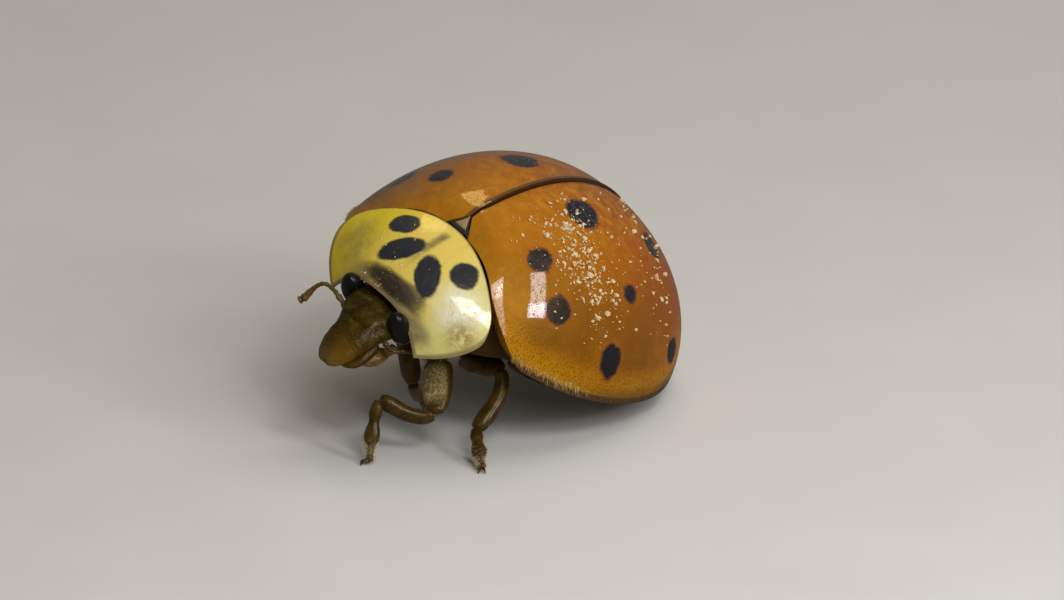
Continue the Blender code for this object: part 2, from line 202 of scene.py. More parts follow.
def limb(path, widths, depths, up, sides, cuts):
    """A round-ended limb along a path. The depth is measured along up, and the width across it."""
    piece, turn, reach, along = tube(sides, cuts)
    # crowd the rings at both ends, so that they close roundly
    along = 0.5 - 0.5 * np.cos(along * math.pi)
    centre = flow(path, along)
    run = unit(flow(path, np.minimum(along + 0.01, 1)) - flow(path, np.maximum(along - 0.01, 0)))
    side = unit(np.cross(run, np.asarray(up, float)))
    upward = np.cross(side, run)
    length = np.linalg.norm(np.diff(flow(path, np.linspace(0, 1, 40)), axis=0), axis=1).sum()
    drawn = 1.0
    for from_end, radius in ((along, widths[0]), (1 - along, widths[-1])):
        k = np.clip(from_end * length / (END_REACH * radius), 0, 1)
        drawn = drawn * (END_SHARE + (1 - END_SHARE) * np.sqrt(1 - (1 - k) ** 2))[:, None]
    half_width = flow(widths, along) * drawn
    half_depth = flow(depths, along) * drawn
    move_points(piece, centre + side * half_width * (reach * np.cos(turn))[:, None]
                + upward * half_depth * (reach * np.sin(turn))[:, None])
    face_outwards(piece)
    return piece


def ball(centre, radii, segments, rings):
    piece = add(bpy.ops.mesh.primitive_uv_sphere_add, segments=segments, ring_count=rings, radius=1)
    move_points(piece, points_of(piece) * radii + centre)
    return piece


def bristles(skin, hairs, lie, keep=None, stand=0.5, draws=chance):
    """Short fine hairs rooted all over a skin, each a slim spike leaning the way of lie."""
    count, length, thickness = hairs
    mesh = skin.data
    mesh.calc_loop_triangles()
    co = points_of(skin)
    tris = np.array([t.vertices[:] for t in mesh.loop_triangles])
    a, b, c = co[tris[:, 0]], co[tris[:, 1]], co[tris[:, 2]]
    normal = np.cross(b - a, c - a)
    area = np.linalg.norm(normal, axis=1)
    normal /= np.maximum(area, 1e-12)[:, None]
    if keep is not None:
        area = area * keep((a + b + c) / 3)
    picked = draws.choice(len(tris), size=count, p=area / area.sum())
    s, t = draws.random((2, count, 1))
    s, t = np.where(s + t > 1, 1 - s, s), np.where(s + t > 1, 1 - t, t)
    root = a[picked] * (1 - s - t) + b[picked] * s + c[picked] * t
    normal = normal[picked]
    lie = np.asarray(lie, float)
    lean = lie - normal * (normal @ lie)[:, None] + draws.normal(0, 0.25, (count, 3))
    tip = unit(normal * stand + unit(lean)) * (length * draws.uniform(0.6, 1.2, count))[:, None]
    side = unit(np.cross(tip, normal))
    other = np.cross(side, unit(tip))
    corners = [root + thickness * (side * math.cos(turn) + other * math.sin(turn)) - normal * thickness
               for turn in (0, 2.094, 4.189)]
    verts = np.stack(corners + [root + tip], axis=1).reshape(-1, 3)
    first = np.arange(count)[:, None] * 4
    faces = np.concatenate([first + [0, 1, 3], first + [1, 2, 3], first + [2, 0, 3], first + [2, 1, 0]])
    made = bpy.data.meshes.new("bristles")
    made.from_pydata(verts.tolist(), [], faces.tolist())
    # each hair bakes in a little patch at its root's own place over the skin
    low, high = co.min(0), co.max(0)
    spot = ((root - low) / (high - low))[:, None, :2] * 0.99
    patch = 0.003 * np.array(((0, 0), (1, 0), (0, 1), (1, 1)))
    lay_out(made, made.uv_layers.new(name="OFBake"), (spot + patch).reshape(-1, 2))
    return place_new("bristles", made)


# how many hairs, their length and their thickness
SHOULDER_HAIRS, LEG_HAIRS, SOLE_HAIRS = (250, 0.095, 0.0045), (900, 0.06, 0.003), (260, 0.095, 0.0045)
HAIR_CLEARANCE = 0.004          # from the floor to the lowest hair


# ---------------------------------------------------------------- finishes

class Number:
    """A number or colour that changes over a surface. Sums on numbers become Math nodes."""

    def __init__(self, finish, socket):
        self.finish, self.socket = finish, socket

    def sum(self, operation, *others):
        return self.finish.node("Math", {"operation": operation}, dict(enumerate((self, *others))))

    __add__ = __radd__ = functools.partialmethod(sum, "ADD")
    __mul__ = __rmul__ = functools.partialmethod(sum, "MULTIPLY")
    __sub__ = functools.partialmethod(sum, "SUBTRACT")
    __truediv__ = functools.partialmethod(sum, "DIVIDE")
    __pow__ = functools.partialmethod(sum, "POWER")
    __abs__ = functools.partialmethod(sum, "ABSOLUTE")
    least = functools.partialmethod(sum, "MINIMUM")
    most = functools.partialmethod(sum, "MAXIMUM")

    def __rsub__(self, other):
        return self * -1 + other

    def rises(self, low, high):
        """0 up to low and 1 from high on, or the other way round where low is the larger."""
        return self.finish.node("MapRange", {"interpolation_type": "SMOOTHSTEP"},
                                {"Value": self, "From Min": low, "From Max": high})


def most_of(masks):
    return functools.reduce(Number.most, masks)


class Finish:
    """A material whose patterns lie in one of the beetle's frames, in millimetres."""

    def __init__(self, name, place, coat=0, coat_roughness=0.03, specular=0.5, tint=(1, 1, 1)):
        self.material = bpy.data.materials.new(name)
        self.material.use_nodes = True
        self.tree = self.material.node_tree
        self.shader = self.tree.nodes["Principled BSDF"]
        for socket, value in (("Coat Weight", coat), ("Coat Roughness", coat_roughness),
                              ("Specular IOR Level", specular), ("Specular Tint", (*tint, 1))):
            self.shader.inputs[socket].default_value = value
        back = place.inverted()
        self.place = self.node("Mapping", {}, {
            "Vector": self.node("TexCoord", out="Object"), "Scale": (1 / MM,) * 3,
            "Rotation": back.to_euler(), "Location": back.translation})
        self.x, self.y, self.z = (self.part(self.place, axis) for axis in "XYZ")

    def node(self, kind, settings=None, sockets=None, out=0):
        made = self.tree.nodes.new("ShaderNode" + kind)
        for key, value in (settings or {}).items():
            setattr(made, key, value)
        for key, value in (sockets or {}).items():
            if isinstance(value, Number):
                self.tree.links.new(value.socket, made.inputs[key])
            else:
                made.inputs[key].default_value = value
        return Number(self, made.outputs[out])

    def part(self, vector, axis):
        return self.node("SeparateXYZ", {}, {"Vector": vector}, out=axis)

    def noise(self, scale, detail=2.0, roughness=0.5, place=None):
        """About 0 in the middle, from -1 to 1; scale is in waves to the millimetre."""
        value = self.node("TexNoise", {}, {
            "Vector": place or self.place, "Scale": scale, "Detail": detail, "Roughness": roughness})
        return value * 2 - 1

    def cells(self, scale, randomness=1.0):
        """The distance from the middle of the nearest cell, as a share of a cell."""
        return self.node("TexVoronoi", {}, {
            "Vector": self.place, "Scale": scale, "Randomness": randomness}, out="Distance")

    def stretched(self, *scale):
        """The place, stretched for a pattern with a grain."""
        return self.node("Mapping", {}, {"Vector": self.place, "Scale": scale})

    def away(self, centre, stretch=(1, 1, 1)):
        """The distance from a point, in millimetres, each way counted by its own measure."""
        offset = self.node("VectorMath", {"operation": "SUBTRACT"}, {0: self.place, 1: centre})
        offset = self.node("VectorMath", {"operation": "MULTIPLY"}, {0: offset, 1: stretch})
        return self.node("VectorMath", {"operation": "LENGTH"}, {0: offset}, out="Value")

    def mix(self, mask, under, over):
        """One colour over another where the mask is 1."""
        under, over = (c if isinstance(c, Number) else (*c, 1.0) for c in (under, over))
        return self.node("Mix", {"data_type": "RGBA"}, {0: mask, 6: under, 7: over}, out=2)

    def base(self, mask, under, over):
        """The first colours, which the later ones are laid on."""
        self.colour = self.mix(mask, under, over)

    def lay(self, mask, over):
        """Lay a colour over what is there where the mask is 1."""
        self.colour = self.mix(mask, self.colour, over)

    def paint(self, roughness, height=None, coat=None):
        """Join the laid colours, roughness, relief in millimetres and coat to the shader."""
        joins = {"Base Color": self.colour, "Roughness": roughness, "Coat Weight": coat}
        if height is not None:
            joins["Normal"] = self.node("Bump", {}, {"Height": height, "Distance": MM})
        for socket, value in joins.items():
            if value is not None:
                self.tree.links.new(value.socket, self.shader.inputs[socket])
        return self.material


# ---------------------------------------------------------------- shapes shared with the solids

DOME_HALF_WIDTH, DOME_FRONT, DOME_REAR = 2.85, 3.218, 3.006
DOME_WIDEST, DOME_HEIGHT = 0.364, 2.551
OUTLINE_POWER, PROFILE_POWER, PROFILE_ROOT, SHOULDER_SLOPE = 2.162, 2.068, 1.681, 0.7
MARGIN_LIFT, MARGIN_LOWEST = 0.043, 0.454
CASE_THICKNESS, CASE_EDGE = 0.44, 0.022         # the edge is the round along the rim
SHIELD_THICKNESS, SHIELD_EDGE = 0.34, 0.018
SCUTELLUM_THICKNESS, SCUTELLUM_EDGE = 0.12, 0.008
CASE_GAP = 0.009                # from the middle line to each case's edge
SCUTELLUM_HALF_WIDTH, SCUTELLUM_LENGTH = 0.24, 0.19
SHIELD_HALF_WIDTH, SHIELD_FRONT_HALF_WIDTH, SHIELD_TAPER_POWER = 1.79, 1.03, 2.34
SHIELD_HIND_CURVE, SHIELD_LENGTH, SHIELD_FRONT_CURVE, SHIELD_FRONT_POWER = 0.856, 1.7, 0.275, 3.2
SHIELD_DROP, SHIELD_DROP_POWER, SHIELD_BULGE = (0.41, 0.59), 2.65, 0.16


def ease(t):
    t = np.clip(t, 0, 1)
    return t * t * (3 - 2 * t)


def bump_at(x, width):
    """A soft mound of height 1 about 0."""
    return np.exp(-(x / width) ** 2)


def margin_height(y):
    return MARGIN_LIFT * (y - MARGIN_LOWEST) ** 2


def dome_reach(y, inset):
    return np.where(y < DOME_WIDEST, DOME_FRONT, DOME_REAR) - inset


def margin_half_width(y, inset=0.0):
    along = np.abs(y - DOME_WIDEST) / dome_reach(y, inset)
    return (DOME_HALF_WIDTH - inset) * np.clip(1 - along ** OUTLINE_POWER, 0, 1) ** (1 / OUTLINE_POWER)


def dome_height(x, y, inset=0.0):
    across = np.abs(x) / (DOME_HALF_WIDTH - inset)
    along = np.abs(y - DOME_WIDEST) / dome_reach(y, inset)
    edge = np.clip(across ** OUTLINE_POWER + along ** OUTLINE_POWER, 0, 1) ** (1 / OUTLINE_POWER)
    root = PROFILE_ROOT - SHOULDER_SLOPE * np.clip((DOME_WIDEST - y) / DOME_FRONT, 0, 1) * across
    crown = np.clip(1 - edge ** PROFILE_POWER, 0, 1) ** (1 / root)
    return (DOME_HEIGHT - inset) * crown + margin_height(y) * edge ** 2


def case_front(x):
    """The line behind the pronotum, which sweeps forward to the sides."""
    return -2.078 - 0.23 * (np.abs(x) / SHIELD_HALF_WIDTH) ** 2


def case_base(x):
    """The front edge of the wing cases, with the notch for the scutellum."""
    notch = SCUTELLUM_LENGTH * np.clip(1 - np.abs(x) / (SCUTELLUM_HALF_WIDTH + 0.012), 0, 1)
    return case_front(x) + notch + 0.012 * (notch > 0)


def round_corner(one, other, reach, other_reach):
    """Bend a square corner, given as distances from its two sides, in to a quarter round."""
    a, b = np.clip(1 - one / reach, 0, 1), np.clip(1 - other / other_reach, 0, 1)
    near = (a > 0) & (b > 0)
    return (np.where(near, reach * (1 - a * np.sqrt(1 - b * b / 2)), one),
            np.where(near, other_reach * (1 - b * np.sqrt(1 - a * a / 2)), other))


def round_shoulder(x, y, reach=0.66):
    """Draw the corner between the front edge and the margin in to a quarter round."""
    front, side = y - case_front(x), margin_half_width(y) - x
    near = (front < reach) & (side < reach)
    front, side = round_corner(front, side, reach, reach)
    new_x, new_y = x, y
    for _ in range(20):
        new_y = case_front(new_x) + front
        new_x = margin_half_width(new_y) - side
    return np.where(near, new_x, x), np.where(near, new_y, y)


def shield_point(u, v):
    """A place on the pronotum in the shield's frame: u across from -1 to 1, v from hind edge to front."""
    spread = np.abs(u)
    taper = (SHIELD_HALF_WIDTH - SHIELD_FRONT_HALF_WIDTH) * v ** SHIELD_TAPER_POWER
    front = SHIELD_LENGTH + SHIELD_FRONT_CURVE * spread ** SHIELD_FRONT_POWER
    forward = (1 - v) * SHIELD_HIND_CURVE * spread ** 2 + v * front
    drop = SHIELD_DROP[0] + (SHIELD_DROP[1] - SHIELD_DROP[0]) * v
    lift = SHIELD_BULGE * np.sin(math.pi * v) * (1 - u ** 2) - drop * spread ** SHIELD_DROP_POWER
    return np.stack(((SHIELD_HALF_WIDTH - taper) * u, -forward, lift), axis=-1)


# ---------------------------------------------------------------- wing cases

CASE_SPOTS = (
    # middle in the body's frame on the left side, radius, how much longer it is upwards
    ((0.79, -0.16, 2.41), 0.32, 1.0),
    ((1.25, -1.37, 1.79), 0.215, 1.0),
    ((1.94, -1.26, 1.25), 0.25, 1.0),
    ((2.64, -0.16, 0.7), 0.22, 1.45),
    ((2.05, 0.32, 1.67), 0.15, 1.1),
    ((2.43, 1.72, 0.78), 0.23, 1.0),
    ((1.24, 1.46, 2.09), 0.25, 1.0),
    ((0.52, 1.86, 2.1), 0.15, 1.0),
    ((1.05, 2.52, 1.3), 0.22, 1.0),
)


def case_finish(name, side):
    f = Finish(name, BODY, coat_roughness=0.045, specular=0.3, tint=(1.0, 0.58, 0.16))
    # height over the margin, and the broad colours of the shell
    height = f.z - (f.y - MARGIN_LOWEST) ** 2 * MARGIN_LIFT
    low = height.rises(1.25, 0.35)
    front = (f.y + f.noise(1.2) * 0.3).rises(-0.9, -2.2)
    blush = f.noise(0.7, 3)
    f.base((f.y + blush * 0.9).rises(-1.3, 1.2), (0.345, 0.112, 0.0012), (0.27, 0.062, 0.0008))
    # painted light: the low part of the shell is laid golden, brighter towards the rear
    painted_low_light = f.mix((f.y + f.noise(2.5, 3) * 0.5).rises(0.6, 2.2), (0.27, 0.104, 0.0002), (0.5, 0.215, 0.004))
    f.lay(low * 0.9, painted_low_light)
    cloud = f.noise(1.6, 4, 0.6)
    # painted shade: a darker amber band laid at mid height on the side of the shell, fading towards the rear
    painted_mid_shade = height.rises(0.4, 0.7) * height.rises(2.1, 1.1) * cloud.rises(-0.7, 0.2) * f.y.rises(2.0, 0.6)
    f.lay(painted_mid_shade * 0.85, (0.16, 0.058, 0.0005))
    f.lay(front * 0.6, (0.39, 0.155, 0.003))
    f.lay(f.noise(2.6, 4, 0.6).rises(0.0, 0.7) * 0.5, (0.19, 0.04, 0.0012))
    # painted highlight: golden light laid over the top of the shell and its front, broken up by noise
    crown = (f.z.rises(1.7, 2.5) + front * 0.5).least(1) * f.noise(5, 4, 0.7).rises(-0.25, 0.45)
    f.lay(crown * 0.6, (0.52, 0.23, 0.01))
    # painted light: a brighter golden glow laid along the low band just above the rim
    glow = (height + cloud * 0.12).rises(0.62, 0.22)
    f.lay(glow * 0.7, (0.37, 0.158, 0.0002))
    # painted shade: the shell is laid darker again towards the rim behind the shoulder
    painted_rim_shade = (height + cloud * 0.05).rises(0.36, 0.14) * f.y.rises(-1.2, 0.2)
    f.lay(painted_rim_shade * 0.75, (0.15, 0.066, 0.001))
    shadow = (f.away((2.06 * side, -1.46, 0.9), (1, 1, 1.3)) + cloud * 0.15).rises(0.56, 0.12)
    f.lay(shadow * 0.62, (0.135, 0.052, 0.0006))
    glints = f.noise(34, 2).rises(0.28, 0.6) * f.noise(3, 3).rises(-0.3, 0.4)
    f.lay(glints * 0.45, (0.62, 0.34, 0.06))
    f.lay(f.noise(3.2, 4, 0.6, f.stretched(1, 1, 0.5)).rises(0.1, 0.7) * 0.3, (0.46, 0.21, 0.01))
    # fine pits, darker towards the margin
    pits = f.cells(27, randomness=0.7).rises(0.42, 0.18)
    depth = 0.22 + height.rises(0.95, 0.35) * 0.78
    f.lay(pits * depth * 0.8, (0.12, 0.032, 0.001))
    # spots with soft, slightly ragged edges
    ragged = f.noise(4.0, 3) * 0.085 + f.noise(20, 3) * 0.045
    spots, halo = [], []
    for (x, y, z), radius, tall in CASE_SPOTS:
        away = f.away((x * side, y, z), (1, 1, 1 / tall))
        spots.append((away + ragged).rises(radius + 0.045, radius - 0.04))
        halo.append(away.rises(radius + 0.15, radius))
    f.lay(most_of(halo) * 0.4, (0.3, 0.075, 0.006))
    bloom = f.noise(14, 4, 0.7).rises(-0.1, 0.6) * f.z.rises(1.3, 2.0)
    f.lay(most_of(spots), f.mix(bloom, (0.009, 0.009, 0.013), (0.075, 0.08, 0.095)))
    # brown rim along the margin, and along the middle line
    rim = (height + f.noise(9) * 0.012).rises(0.14, 0.085)
    seam = (f.x * side + f.noise(8) * 0.008).rises(*((0.115, 0.085) if side == RIGHT else (0.045, 0.025)))
    horn = f.mix(f.noise(16, 3).rises(-0.2, 0.6), (0.042, 0.024, 0.013), (0.09, 0.058, 0.034))
    f.lay(rim * 0.92, horn)
    f.lay(seam * 0.85, (0.085, 0.034, 0.01))
    f.lay((f.x * side).rises(0.032, 0.02) * 0.85, (0.022, 0.009, 0.004))
    # dull smears and scratches
    smear = f.noise(1.8, 4, 0.65).rises(0.15, 0.7)
    roughness = 0.36 + smear * 0.18 + pits * 0.1
    relief = pits * depth * -0.006 + f.noise(9, 3) * 0.0035 + f.noise(2.2, 2) * 0.01 + f.noise(45, 2) * 0.0012
    worn = (f.noise(11, 4, 0.75) + pits * 0.5).rises(0.05, 0.35)
    gloss = (0.95 - smear * 0.3 - low * 0.62) * (1 - worn * 0.75) * (1 - rim) * (1 - f.y.rises(0.3, 1.5) * 0.55)
    return f.paint(roughness, relief, gloss.most(0.03))


def build_case(name, side):
    case, across, along = grid(72, 96)
    across = CASE_GAP + (1 - CASE_GAP) * np.sin(across * math.pi / 2)
    crowded = np.sin((1 - np.cos(along * math.pi / 2)) * math.pi / 2)
    along = 0.25 * along + 0.75 * crowded
    tail = DOME_WIDEST + DOME_REAR - 0.006
    straight = case_base(0.0) + (tail - case_base(0.0)) * along
    y = straight
    for _ in range(40):
        x = across * margin_half_width(y)
        y = (y + straight + (case_base(x) - case_base(0.0)) * (1 - along) ** 3) / 2
    x, y = round_shoulder(np.maximum(across * margin_half_width(y), CASE_GAP), y)
    # the front rolls down to meet the hind edge of the pronotum
    rolled = np.clip(1 - (y - case_front(x)) / 0.36, 0, 1) ** 2
    z = dome_height(x, y) - rolled * (0.155 * ease((1.45 - x) / 1.45) + 0.015)
    # the right case ends in a raised bead along the middle, which stands over the left one
    z -= side * 0.03 * bump_at(x, 0.1) * ease((y + 1.95) / 0.5)
    move_points(case, np.stack((x * side, y, z), axis=-1) * (0.9978, 0.9945, 0.9968))
    if side == RIGHT:
        edit(case, bpy.ops.mesh.flip_normals)
    give_wall(case, CASE_THICKNESS, CASE_EDGE)

    def shoulder_margin(middles):
        x, y, z = middles.T
        outside = np.abs(z - dome_height(np.abs(x), y)) < 0.04
        return outside * bump_at(z - margin_height(y) - 0.155, 0.055) * ease((-0.45 - y) / 0.3)

    fringe = bristles(case, SHOULDER_HAIRS, (0.2 * side, 0.0, -1.0), shoulder_margin, 0.3,
                      np.random.default_rng(11))
    down = limb_finish("case_hairs", (0.56, 0.4, 0.13), (0.34, 0.21, 0.05), BODY)
    deliver(fringe, f"case_hairs_{name}", BODY, down, "limb", sharp=30)
    deliver(case, f"wing_case_{name}", BODY, case_finish(f"wing_case_{name}", side), "wing_case",
            f"elytron_{name}", sharp=60)


# ---------------------------------------------------------------- pronotum and scutellum

def shield_finish():
    """Pale yellow with four black marks, greener at the right, and a thin clear brown rim."""
    f = Finish("pronotum", SHIELD, coat=0.6, coat_roughness=0.06, specular=0.4, tint=(1.0, 0.85, 0.55))
    forward = 0 - f.y
    layout = f.node("UVMap", {"uv_map": "UVMap"})
    u, v = f.part(layout, "X") * 2 - 1, f.part(layout, "Y")
    f.base((f.x + f.noise(1.5) * 0.25).rises(-0.2, -1.2), (0.66, 0.49, 0.09), (0.66, 0.5, 0.01))
    f.lay((f.x + f.noise(2.0) * 0.3).rises(0.45, 1.25) * 0.8, (0.56, 0.53, 0.2))
    # painted reflection: a whitish glare of the window light laid over the left lobe
    painted_glare = f.away((1.16, -0.98, -0.12), (1.0, 1.1, 0.8)).rises(0.66, 0.12) * f.noise(4, 4, 0.7).rises(-0.7, 0.2)
    f.lay(painted_glare * 0.8, (0.68, 0.67, 0.54))
    f.lay(f.noise(3.5, 4, 0.6).rises(0.0, 0.7) * 0.35, (0.46, 0.33, 0.08))
    # brownish smudge near the left side, and the dark head that shows through the front
    smudge = f.away((1.46, -1.24, -0.36)).rises(0.4, 0.06) * f.noise(9, 4, 0.75).rises(-0.4, 0.18)
    f.lay(smudge * 0.9, (0.27, 0.178, 0.038))
    # an olive tone over the right side, partly web and dirt and partly painted shade
    web_dirt_and_shade = f.away((-1.15, -1.22, -0.12)).rises(0.62, 0.15) * f.noise(3.5, 4, 0.7).rises(-0.6, 0.3)
    f.lay(web_dirt_and_shade * 0.7, (0.27, 0.21, 0.055))
    pits = f.cells(15).rises(0.32, 0.1)
    f.lay(pits * 0.15, (0.3, 0.2, 0.05))
    edge = f.noise(4, 3) * 0.06 + f.noise(22, 2) * 0.02
    strip = (v + f.noise(3) * 0.03).rises(0.76, 0.9) * u.rises(0.98, 0.8) * f.x.rises(-1.1, -0.5)
    grain = f.noise(3, 4, 0.6, f.stretched(1, 4, 1))
    f.lay((strip * (0.8 + grain * 0.5)).least(1), (0.15, 0.118, 0.058))
    shade = (((f.x - 0.08) / 0.6) ** 2 + ((forward - 1.47) / 0.17) ** 2 + edge * 6).rises(1.8, 0.4)
    f.lay((shade * (0.95 + grain * 0.15)).least(1), (0.016, 0.01, 0.008))
    smoke = (((f.x - 0.46) / 0.3) ** 2 + ((forward - 1.36) / 0.13) ** 2 + edge * 6).rises(1.4, 0.2)
    f.lay(smoke * 0.8, (0.06, 0.045, 0.03))
    streak = (abs(f.x - 0.01 + (forward - 0.4) * 0.03) + edge * 0.6).rises(0.12, 0.02)
    streak = streak * forward.rises(0.12, 0.24) * forward.rises(1.3, 0.45)
    f.lay(streak * (0.75 + grain * 0.4), (0.1, 0.07, 0.04))
    marks = []
    for x, y, long, short, turn in (
            (-0.69, 0.53, 0.265, 0.225, 2.6), (0.8, 0.53, 0.25, 0.235, 1.0),
            (-0.3, 0.92, 0.405, 0.215, 2.205), (0.405, 0.975, 0.405, 0.225, 0.853)):
        along = (f.x - x) * math.cos(turn) + (forward - y) * math.sin(turn)
        beside = (forward - y) * math.cos(turn) - (f.x - x) * math.sin(turn)
        marks.append((((along / long) ** 2 + (beside / short) ** 2) ** 0.5 + edge * 3).rises(1.13, 0.88))
    f.lay(most_of(marks), (0.016, 0.018, 0.025))
    # the rim, clear and brownish
    rim = abs(u).rises(0.955, 0.985).most(v.rises(0.955, 0.985)).most(v.rises(0.022, 0.006) * 0.8)
    f.lay(rim * 0.8, (0.16, 0.11, 0.05))
    roughness = 0.36 + f.noise(2.5, 4, 0.6).rises(0, 0.8) * 0.16
    gloss = 0.75 - f.noise(9, 4, 0.7).rises(-0.08, 0.28) * 0.62
    relief = pits * -0.002 + f.noise(10, 3) * 0.004 + f.noise(3, 2) * 0.008
    return f.paint(roughness, relief, gloss)


def build_pronotum():
    plate, across, along = grid(88, 56)
    u = np.sin((across - 0.5) * math.pi)
    inward, forward = round_corner(1 - np.abs(u), along, 0.16, 0.26)
    move_points(plate, shield_point(np.sign(u) * (1 - inward), forward))
    layout = plate.data.uv_layers[0]
    layout.name = "UVMap"
    lay_out(plate.data, layout, np.stack(((u + 1) / 2, along), axis=-1))
    # thick over the middle of the body and thin at the sides and the front
    thick = plate.vertex_groups.new(name="thick")
    for i, share in enumerate(0.14 + 0.86 * (1 - u ** 4) * (1 - along)):
        thick.add([i], float(share), "REPLACE")
    edit(plate, bpy.ops.mesh.flip_normals)
    give_wall(plate, SHIELD_THICKNESS, SHIELD_EDGE, thick_where="thick")
    deliver(plate, "pronotum_plate", SHIELD, shield_finish(), "shield", "pronotum", sharp=60)


def scutellum_finish():
    f = Finish("scutellum", BODY, coat=0.4, coat_roughness=0.2)
    inside = (f.y + 2.055).rises(0.0, 0.03)
    inside = inside * (0.205 - abs(f.x) * 1.25 - (f.y + 2.07) * 1.15 + f.noise(12) * 0.01).rises(0.0, 0.035)
    middle = f.mix(f.noise(9, 3), (0.3, 0.21, 0.08), (0.42, 0.32, 0.13))
    f.base(inside, (0.018, 0.014, 0.01), middle)
    return f.paint(0.38 + f.noise(20) * 0.06, f.noise(16, 3) * 0.004)


def build_scutellum():
    plate = add(bpy.ops.mesh.primitive_circle_add, vertices=3, radius=1, fill_type="NGON")
    move_points(plate, [(0, -1.905, 1.8), (-SCUTELLUM_HALF_WIDTH, -2.07, 1.545),
                        (SCUTELLUM_HALF_WIDTH, -2.07, 1.545)])
    edit(plate,
         lambda: bpy.ops.mesh.inset(thickness=0.03),
         lambda: bpy.ops.mesh.extrude_region_move(TRANSFORM_OT_translate={"value": (0, 0, -0.012)}),
         lambda: bpy.ops.mesh.inset(thickness=0.018),
         lambda: bpy.ops.transform.translate(value=(0, -0.006, 0.02)))
    give_wall(plate, SCUTELLUM_THICKNESS, SCUTELLUM_EDGE, 2, 30)
    deliver(plate, "scutellum_plate", BODY, scutellum_finish(), "shield", "scutellum", sharp=60)


# ---------------------------------------------------------------- underside

TRUNK_FRONT, TRUNK_REAR, BELLY = -2.92, 2.86, -0.35
SEGMENT_EDGES = (0.62, 1.16, 1.56, 1.93, 2.26, 2.54, 2.8)


def underside_finish():
    f = Finish("underside", BODY, coat=0.08, coat_roughness=0.3, specular=0.2, tint=(1.0, 0.75, 0.45))
    sides = (abs(f.x) + f.noise(2) * 0.2).rises(0.9, 1.9) * f.y.rises(-0.6, 0.6)
    rear = (f.y + f.noise(2) * 0.25).rises(0.6, 2.2)
    f.base(sides.most(rear), (0.028, 0.013, 0.004), (0.2, 0.08, 0.012))
    flank = (abs(f.x) + f.noise(2) * 0.15).rises(0.7, 1.2) * f.y.rises(-0.9, -1.4)
    f.lay(flank, (0.048, 0.024, 0.005))
    f.lay(f.noise(6, 4, 0.6).rises(-0.2, 0.7) * 0.5, (0.018, 0.009, 0.005))
    bow = f.x * f.x * -0.05
    grooves = [abs(f.y - bow - edge).rises(0.035, 0.008) for edge in (-1.42, -0.42) + SEGMENT_EDGES]
    grooves.append(abs(f.x).rises(0.022, 0.004) * f.y.rises(0.65, 0.5) * f.y.rises(-0.5, -0.3))
    grooves = most_of(grooves)
    f.lay(grooves * 0.8, (0.008, 0.005, 0.004))
    pits = f.cells(12).rises(0.35, 0.1)
    return f.paint(0.42 + pits * 0.15, grooves * -0.012 + pits * -0.004 + f.noise(14, 3) * 0.004)


def build_trunk():
    skin, turn, reach, along = tube(64, 170)
    y = TRUNK_FRONT + (TRUNK_REAR - TRUNK_FRONT) * along
    chest = ease((y + 1.98) / 0.35)
    half_width = (0.62 + 0.46 * ease((y + 2.95) / 0.7)) * (1 - chest)
    half_width += chest * (margin_half_width(y, CASE_THICKNESS + 0.05) - 0.02)
    side_height = (margin_height(y) - 0.05) * chest + (0.22 + 0.3 * ease((-2.2 - y) / 0.7)) * (1 - chest)
    top = np.where(y > -1.9, dome_height(0 * y, y, CASE_THICKNESS + 0.16) * 0.94, 1.12 + (y + 2.09) * 0.72)
    rise = 0.34 * ease((y - 0.5) / 2.4) + 0.3 * ease((y - 2.0) / 0.86) + 0.8 * ease((-2.12 - y) / 0.95)
    tail = np.sqrt(np.clip(1 - ease((y - 2.2) / 0.66) ** 3, 0.0, 1))
    above, below = np.maximum(np.sin(turn), 0), np.maximum(-np.sin(turn), 0)
    x = half_width * np.sign(np.cos(turn)) * np.abs(np.cos(turn)) ** np.where(above > 0, 1.0, 0.8)
    slope = 0.45 * np.clip(np.abs(x) - 0.7, 0, 2)
    belly = np.minimum(BELLY + rise + slope, side_height)
    z = np.where(above > 0, side_height + (top - side_height) * above ** 1.15 * tail,
                 side_height + (belly - side_height) * np.minimum(below * 2.2, 1) ** 0.7)
    middle = side_height + (BELLY - side_height) * 0.2
    move_points(skin, np.stack((x * reach, y, middle + (z - middle) * reach), axis=-1))
    face_outwards(skin)

    def plates(points):
        """Each belly plate rises a little to its hind edge, over the front of the next one."""
        px, py, pz = points.T
        place = py + 0.05 * px ** 2
        step = np.zeros(len(py))
        for first, last in zip(SEGMENT_EDGES, SEGMENT_EDGES[1:]):
            inside = (place >= first) & (place < last)
            step[inside] = ((place[inside] - first) / (last - first)) ** 2
        return 0.025 * step * (pz < 0.35)

    sculpt(skin, plates)
    deliver(skin, "trunk_skin", BODY, underside_finish(), "underside", "prothorax", "thorax", "abdomen")


# ---------------------------------------------------------------- head

def lay_muzzle(f):
    """The brown of the mouth over the colour behind it, with a warm glow and a paler tip."""
    forward = 0 - f.y
    brown = f.mix(f.noise(4.5, 4, 0.65).rises(-0.5, 0.5), (0.026, 0.013, 0.0015), (0.06, 0.031, 0.003))
    f.lay((forward + f.noise(3) * 0.15).rises(0.35, 0.8), brown)
    glow = (f.away((0.3, -1.06, 0.06)) + f.noise(3) * 0.12).rises(0.46, 0.02)
    f.lay(glow * 0.9, (0.125, 0.062, 0.005))
    tip = (forward - f.x * 0.3 + f.noise(4) * 0.1).rises(0.95, 1.3)
    f.lay(tip * 0.7, (0.13, 0.088, 0.036))
    f.lay(f.z.rises(-0.12, -0.26) * 0.7, (0.016, 0.008, 0.002))


